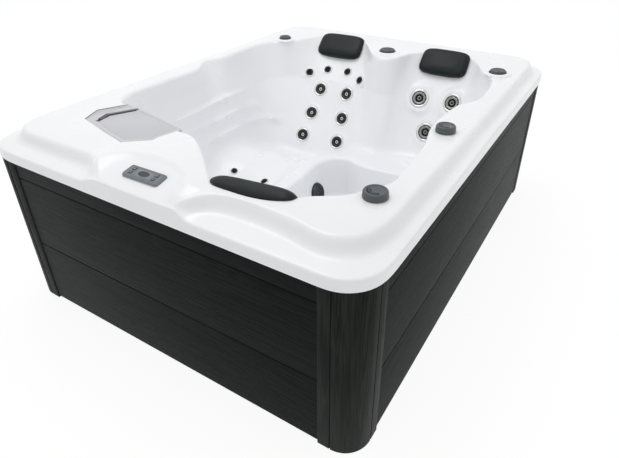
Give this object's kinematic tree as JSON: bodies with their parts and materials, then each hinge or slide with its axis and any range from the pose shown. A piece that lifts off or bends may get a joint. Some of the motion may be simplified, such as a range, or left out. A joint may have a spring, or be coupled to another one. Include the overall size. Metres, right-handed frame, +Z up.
{
  "type": "acrylic hot tub",
  "caption": "Rectangular acrylic hot tub with a lounger, two corner seats and a footwell, in a dark slatted cabinet with swivelling jets, valves, filter and head pillows.",
  "frame": {"origin": "on the floor under the middle of the tub", "axes": "+X along the short side towards the seat corner, +Y along the long side away from the control panel, +Z up"},
  "size_m": [1.625, 2.1, 0.7857],
  "materials": {
    "acrylic": "glossy white sanitary acrylic with a faint pearl",
    "tray_plastic": "black moulded tray, matt",
    "timber": "planed softwood",
    "composite": "dark charcoal composite with a fine brushed grain",
    "jet_steel": "brushed steel face with a dark nozzle",
    "grey_plastic": "satin grey moulded plastic",
    "screen": "dark glossy window",
    "button_rubber": "grey soft-touch keys",
    "pale_plastic": "light grey moulded plastic",
    "filter_pleats": "white pleated paper between plastic caps",
    "pillow_foam": "charcoal self-skinned foam",
    "suction_plastic": "dark teal-grey ribbed moulding",
    "pipe_plastic": "white rigid and flexible pipe",
    "pump_metal": "dark painted casting",
    "pack_plastic": "dark grey enclosure"
  },
  "bodies": {
    "tub": {"suction_cover": "suction_plastic", "air_valve_left": "pipe_plastic", "air_valve_middle": "pipe_plastic", "air_valve_right": "pipe_plastic", "panel_housing": "grey_plastic", "panel_screen": "screen", "filter_housing": "pale_plastic", "pillow_lounger": "pillow_foam", "pillow_corner": "pillow_foam", "pillow_front": "pillow_foam", "acrylic_shell": "acrylic", "circulation_pump": "pump_metal", "control_pack": "pack_plastic", "pressure_plumbing": "pipe_plastic", "suction_plumbing": "pipe_plastic", "board_front_lower": "composite", "board_front_middle": "composite", "board_front_upper": "composite", "board_right_lower": "composite", "board_right_middle": "composite", "board_right_upper": "composite", "board_back_lower": "composite", "board_back_middle": "composite", "board_back_upper": "composite", "board_left_lower": "composite", "board_left_middle": "composite", "board_left_upper": "composite", "corner_post_front_right": "composite", "corner_post_back_right": "composite", "corner_post_back_left": "composite", "corner_post_front_left": "composite", "base_tray": "tray_plastic", "support_frame": "timber"},
    "jet_neck_outer_left": {"jet_neck_outer_left": "jet_steel"},
    "jet_neck_inner_left": {"jet_neck_inner_left": "jet_steel"},
    "jet_neck_inner_right": {"jet_neck_inner_right": "jet_steel"},
    "jet_neck_outer_right": {"jet_neck_outer_right": "jet_steel"},
    "jet_upper_right": {"jet_upper_right": "jet_steel"},
    "jet_middle_right": {"jet_middle_right": "jet_steel"},
    "jet_lower_right": {"jet_lower_right": "jet_steel"},
    "jet_lower_left": {"jet_lower_left": "jet_steel"},
    "jet_middle_left": {"jet_middle_left": "jet_steel"},
    "jet_upper_left": {"jet_upper_left": "jet_steel"},
    "jet_seat_low": {"jet_seat_low": "jet_steel"},
    "jet_seat_left": {"jet_seat_left": "jet_steel"},
    "jet_seat_right": {"jet_seat_right": "jet_steel"},
    "jet_calf_left": {"jet_calf_left": "jet_steel"},
    "jet_calf_right": {"jet_calf_right": "jet_steel"},
    "diverter_knob_side": {"diverter_knob_side": "grey_plastic"},
    "diverter_knob_front": {"diverter_knob_front": "grey_plastic"},
    "air_cap_left": {"air_cap_left": "grey_plastic"},
    "air_cap_middle": {"air_cap_middle": "grey_plastic"},
    "air_cap_right": {"air_cap_right": "grey_plastic"},
    "button_left_lower": {"button_left_lower": "button_rubber"},
    "button_left_upper": {"button_left_upper": "button_rubber"},
    "button_right_lower": {"button_right_lower": "button_rubber"},
    "button_right_upper": {"button_right_upper": "button_rubber"},
    "filter_lid": {"filter_lid": "pale_plastic"},
    "filter_cartridge": {"filter_cartridge": "filter_pleats"},
    "drain_cap": {"drain_cap": "grey_plastic"}
  },
  "joints": [
    {"name": "jet_neck_outer_left_turn", "type": "hinge", "parent": "tub", "child": "jet_neck_outer_left", "pos_m": [-0.42377, 0.6308, 0.58581], "axis": [0.304, -0.7733, 0.5564], "range_deg": [0, 110]},
    {"name": "jet_neck_inner_left_turn", "type": "hinge", "parent": "tub", "child": "jet_neck_inner_left", "pos_m": [-0.32314, 0.67161, 0.60679], "axis": [0.0848, -0.7076, 0.7015], "range_deg": [0, 110]},
    {"name": "jet_neck_inner_right_turn", "type": "hinge", "parent": "tub", "child": "jet_neck_inner_right", "pos_m": [-0.19587, 0.67931, 0.61116], "axis": [-0.0408, -0.7235, 0.6892], "range_deg": [0, 110]},
    {"name": "jet_neck_outer_right_turn", "type": "hinge", "parent": "tub", "child": "jet_neck_outer_right", "pos_m": [-0.0966, 0.64128, 0.58868], "axis": [-0.2554, -0.797, 0.5473], "range_deg": [0, 110]},
    {"name": "jet_upper_right_turn", "type": "hinge", "parent": "tub", "child": "jet_upper_right", "pos_m": [-0.15602, 0.59952, 0.51063], "axis": [-0.0245, -0.8525, 0.5222], "range_deg": [0, 110]},
    {"name": "jet_middle_right_turn", "type": "hinge", "parent": "tub", "child": "jet_middle_right", "pos_m": [-0.14219, 0.52495, 0.3904], "axis": [-0.0062, -0.8495, 0.5275], "range_deg": [0, 110]},
    {"name": "jet_lower_right_turn", "type": "hinge", "parent": "tub", "child": "jet_lower_right", "pos_m": [-0.1316, 0.45251, 0.27558], "axis": [0.0145, -0.836, 0.5485], "range_deg": [0, 110]},
    {"name": "jet_lower_left_turn", "type": "hinge", "parent": "tub", "child": "jet_lower_left", "pos_m": [-0.35086, 0.43453, 0.27782], "axis": [0.1666, -0.8332, 0.5272], "range_deg": [0, 110]},
    {"name": "jet_middle_left_turn", "type": "hinge", "parent": "tub", "child": "jet_middle_left", "pos_m": [-0.33769, 0.51309, 0.39113], "axis": [0.1335, -0.8195, 0.5573], "range_deg": [0, 110]},
    {"name": "jet_upper_left_turn", "type": "hinge", "parent": "tub", "child": "jet_upper_left", "pos_m": [-0.32657, 0.59633, 0.51069], "axis": [0.066, -0.8328, 0.5496], "range_deg": [0, 110]},
    {"name": "jet_seat_low_turn", "type": "hinge", "parent": "tub", "child": "jet_seat_low", "pos_m": [0.34375, 0.5721, 0.39924], "axis": [0.0216, -0.9186, 0.3946], "range_deg": [0, 110]},
    {"name": "jet_seat_left_turn", "type": "hinge", "parent": "tub", "child": "jet_seat_left", "pos_m": [0.26674, 0.63682, 0.55463], "axis": [0.0981, -0.852, 0.5143], "range_deg": [0, 110]},
    {"name": "jet_seat_right_turn", "type": "hinge", "parent": "tub", "child": "jet_seat_right", "pos_m": [0.44676, 0.63415, 0.5631], "axis": [-0.1488, -0.8714, 0.4674], "range_deg": [0, 110]},
    {"name": "jet_calf_left_turn", "type": "hinge", "parent": "tub", "child": "jet_calf_left", "pos_m": [-0.44498, -0.08217, 0.2426], "axis": [0.3345, -0.3435, 0.8776], "range_deg": [0, 110]},
    {"name": "jet_calf_right_turn", "type": "hinge", "parent": "tub", "child": "jet_calf_right", "pos_m": [-0.24864, -0.08208, 0.23674], "axis": [-0.023, -0.3297, 0.9438], "range_deg": [0, 110]},
    {"name": "diverter_knob_side_turn", "type": "hinge", "parent": "tub", "child": "diverter_knob_side", "pos_m": [0.67519, -0.168, 0.7573], "axis": [0, 0, 1], "range_deg": [0, 180]},
    {"name": "diverter_knob_front_turn", "type": "hinge", "parent": "tub", "child": "diverter_knob_front", "pos_m": [0.66381, -0.72135, 0.75769], "axis": [-0.0096, 0.006, 0.9999], "range_deg": [0, 180]},
    {"name": "air_cap_left_turn", "type": "hinge", "parent": "tub", "child": "air_cap_left", "pos_m": [-0.59229, 0.63103, 0.75807], "axis": [0.0248, -0.023, 0.9994], "range_deg": [0, 90]},
    {"name": "air_cap_middle_turn", "type": "hinge", "parent": "tub", "child": "air_cap_middle", "pos_m": [0.039, 0.6909, 0.7573], "axis": [0, 0, 1], "range_deg": [0, 90]},
    {"name": "air_cap_right_turn", "type": "hinge", "parent": "tub", "child": "air_cap_right", "pos_m": [0.65161, 0.62264, 0.758], "axis": [-0.0173, -0.0113, 0.9998], "range_deg": [0, 90]},
    {"name": "button_left_lower_press", "type": "slide", "parent": "tub", "child": "button_left_lower", "axis": [-0.0122, -0.1849, 0.9827], "range_m": [-0.001, 0], "stiffness_N_per_m": 400},
    {"name": "button_left_upper_press", "type": "slide", "parent": "tub", "child": "button_left_upper", "axis": [-0.0122, -0.1849, 0.9827], "range_m": [-0.001, 0], "stiffness_N_per_m": 400},
    {"name": "button_right_lower_press", "type": "slide", "parent": "tub", "child": "button_right_lower", "axis": [-0.0122, -0.1849, 0.9827], "range_m": [-0.001, 0], "stiffness_N_per_m": 400},
    {"name": "button_right_upper_press", "type": "slide", "parent": "tub", "child": "button_right_upper", "axis": [-0.0122, -0.1849, 0.9827], "range_m": [-0.001, 0], "stiffness_N_per_m": 400},
    {"name": "filter_lid_lift", "type": "slide", "parent": "tub", "child": "filter_lid", "axis": [0, 0, 1], "range_m": [0, 0.2]},
    {"name": "filter_cartridge_turn", "type": "hinge", "parent": "tub", "child": "filter_cartridge", "pos_m": [-0.32995, -0.70712, 0.4443], "axis": [0, 0, 1], "range_deg": [0, 90]},
    {"name": "drain_cap_turn", "type": "hinge", "parent": "tub", "child": "drain_cap", "pos_m": [-0.13, 1.0343, 0.12112], "axis": [0, 1, 0], "range_deg": [0, 180]}
  ]
}
